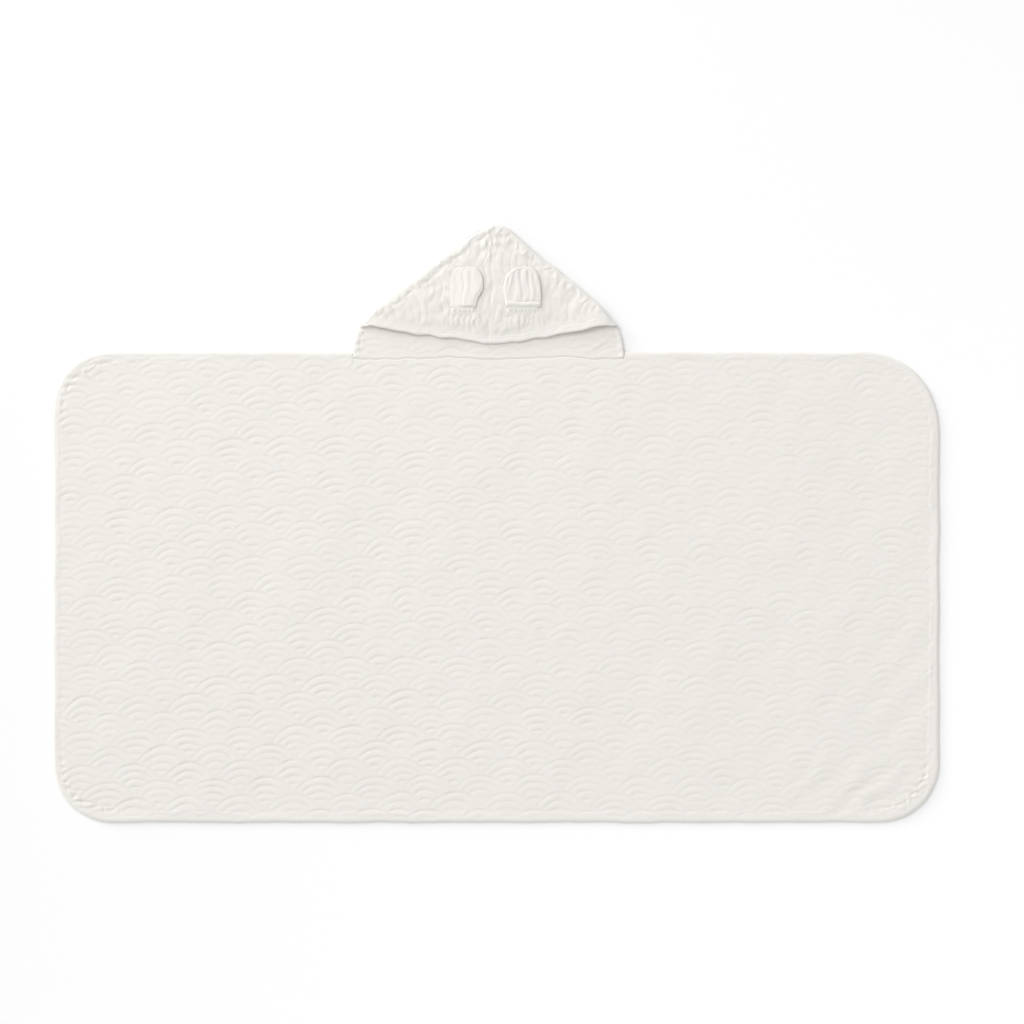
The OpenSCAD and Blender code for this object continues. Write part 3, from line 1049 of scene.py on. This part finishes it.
def tuck_height(side, x, y):
    """Height over the hood of the gathers held by the ear's stitches: they start under the
    ear's base and flatten out below it."""
    (left, right), _ = EAR_REACH[side]
    middle, half = (right - left) / 2, (right + left) / 2 - 1
    u = np.clip(np.abs(x - middle) / half, 0, 1)
    gather = 1 + 0.26 * np.sin(x / 1.0 + 0.8 * field(x, y, 114, 14)) * smooth(-y / 2.5)
    return 1.75 * gather * (1 - smooth((0.6 - y) / 9.4)) * smooth((1 - u) * 6) - 0.5


def build_tuck(side):
    """The gathered fold of cloth at an ear's base."""
    (left, right), _ = EAR_REACH[side]
    x, y = np.meshgrid(np.linspace(-left + 1, right - 1, 89), np.linspace(-8.8, 2.6, 29))
    return ear_slab("ear_tuck_roll", side, x, y, tuck_height(side, x, y), -1.2, cloth_mat)


def build_ear_stitches(side):
    (left, right), _ = EAR_REACH[side]
    x = np.linspace(-left + 3, right - 3, 90)
    y = np.full_like(x, -3.0)
    row = along_curve(np.stack(ear_place(side, x, y, tuck_height(side, x, y)), -1), 3.3)
    return stitches(f"ear_stitch_row_{side}", *row, 2.3, 0.34)


# -------------------------------------------- placement baked into the meshes


def front_blend(obj, place):
    """Bakes the piece's placement into its mesh. place gives hood coordinates for a distance
    inside the slanted edge; the points it gives are not used."""
    for inset in (4.0, 54.0):
        x, y = to_world(*place(inset))
    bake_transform(obj)


def seam_blend(obj, sign):
    front_blend(obj, lambda inset: (EDGE_D - inset) * np.array([sign * EDGE_N[0], EDGE_N[1]]))


def middle_blend(obj):
    front_blend(obj, lambda inset: (0, (EDGE_D - inset) / EDGE_N[1]))


def neck_blend(obj):
    """Bakes the piece's placement into its mesh."""
    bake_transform(obj)


def ear_blend(obj):
    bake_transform(obj)


def settle(obj, slot, *nodes):
    """Hides the CAD nodes that a piece stands for, and returns the piece. slot is not used."""
    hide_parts(*nodes)
    return obj


# -------------------------------------------- the pieces
CLOTH, BINDING, LINING, THREAD = "terry_cloth", "terry_binding", "ear_lining", "sewing_thread"

towel = settle(build_panel(), CLOTH, "towel_panel")
hem = settle(build_hem(), BINDING, "edge_binding")
hem_thread = settle(build_hem_stitches(), THREAD, "binding_topstitch")
neck_thread = settle(build_neck_stitches(), THREAD, "neck_seam_thread")
for piece in (towel, hem, hem_thread, neck_thread):
    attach(piece, "towel")

hood_back = settle(build_hood_back(), CLOTH, "hood_back")
neck_blend(hood_back)
for side, sign in (("left", -1), ("right", 1)):
    band = settle(build_side_binding(sign), BINDING, f"side_binding_{side}")
    neck_blend(band)
    overlock = settle(build_overlock(sign), THREAD, f"overlock_seam_{side}")
    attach(overlock, "hood")
    front = settle(build_hood_front(sign), CLOTH, f"hood_front_{side}")
    seam_blend(front, sign)
    rim = settle(build_rim(sign), BINDING, f"rim_binding_{side}")
    seam_blend(rim, sign)
    rim_thread = settle(build_rim_stitches(sign), THREAD, f"rim_topstitch_{side}")
    seam_blend(rim_thread, sign)
    tuck = settle(build_tuck(side), CLOTH, f"ear_tuck_{side}")
    seam_blend(tuck, sign)
    ear_thread = settle(build_ear_stitches(side), THREAD, f"ear_stitches_{side}")
    seam_blend(ear_thread, sign)
    shell = settle(build_ear_shell(side), CLOTH, f"ear_shell_{side}")
    ear_blend(shell)
    lining = settle(build_ear_lining(side), LINING, f"ear_lining_{side}")
    ear_blend(lining)
centre_thread = settle(build_centre_stitches(), THREAD, "centre_seam_thread")
middle_blend(centre_thread)

# -------------------------------------------- floor, light and camera
bpy.ops.mesh.primitive_plane_add(size=60, location=(0, 0, 0))
floor = bpy.context.object
floor.name = "floor"
floor_mat, floor_tree, floor_shader = new_material("pale_floor", 0.9, 0.1)
# the backdrop is a little darker where the near light is stronger, so that it looks even
floor_place = floor_tree.nodes.new("ShaderNodeTexCoord").outputs["Object"]
falloff = floor_tree.nodes.new("ShaderNodeVectorMath")
falloff.operation = "DOT_PRODUCT"
floor_tree.links.new(floor_place, falloff.inputs[0])
falloff.inputs[1].default_value = (0.0329, -0.0444, 0.0)
level = falloff.outputs["Value"]
for kind, number in (("ADD", 0.880), ("MINIMUM", 0.94), ("MAXIMUM", 0.82)):
    level = maths(floor_tree, kind, level, number)
floor_tree.links.new(level, floor_shader.inputs["Base Color"])
floor.data.materials.append(floor_mat)

world = bpy.data.worlds.new("studio")
world.use_nodes = True
world.node_tree.nodes["Background"].inputs["Color"].default_value = (1, 1, 1, 1)
world.node_tree.nodes["Background"].inputs["Strength"].default_value = 0.768
bpy.context.scene.world = world


def light(name, kind, position, energy):
    """A light at a position, aimed at the middle of the towel."""
    data = bpy.data.lights.new(name, kind)
    data.energy = energy
    lamp = bpy.data.objects.new(name, data)
    lamp.location = position
    lamp.rotation_euler = (-Vector(position)).to_track_quat("-Z", "Y").to_euler()
    bpy.context.scene.collection.objects.link(lamp)
    return data


def sun(name, elevation, energy, angle):
    """A distant light from the upper left of the picture."""
    rise = math.radians(elevation)
    position = (-3.2 * math.cos(rise), 2.4 * math.cos(rise), 4 * math.sin(rise))
    light(name, "SUN", position, energy).angle = math.radians(angle)


sun("key", 45, 0.88, 34)
sun("raking", 13, 1.30, 18)
light("near", "AREA", (-0.8, 1.3, 1.5), 5.4).size = 0.6

camera_data = bpy.data.cameras.new("camera")
camera_data.lens = 100
camera_data.sensor_width = 36
camera = bpy.data.objects.new("camera", camera_data)
camera.location = (0.0217, 0.0156, 3.857)
bpy.context.scene.collection.objects.link(camera)
bpy.context.scene.camera = camera
bpy.context.scene.view_settings.view_transform = "Standard"
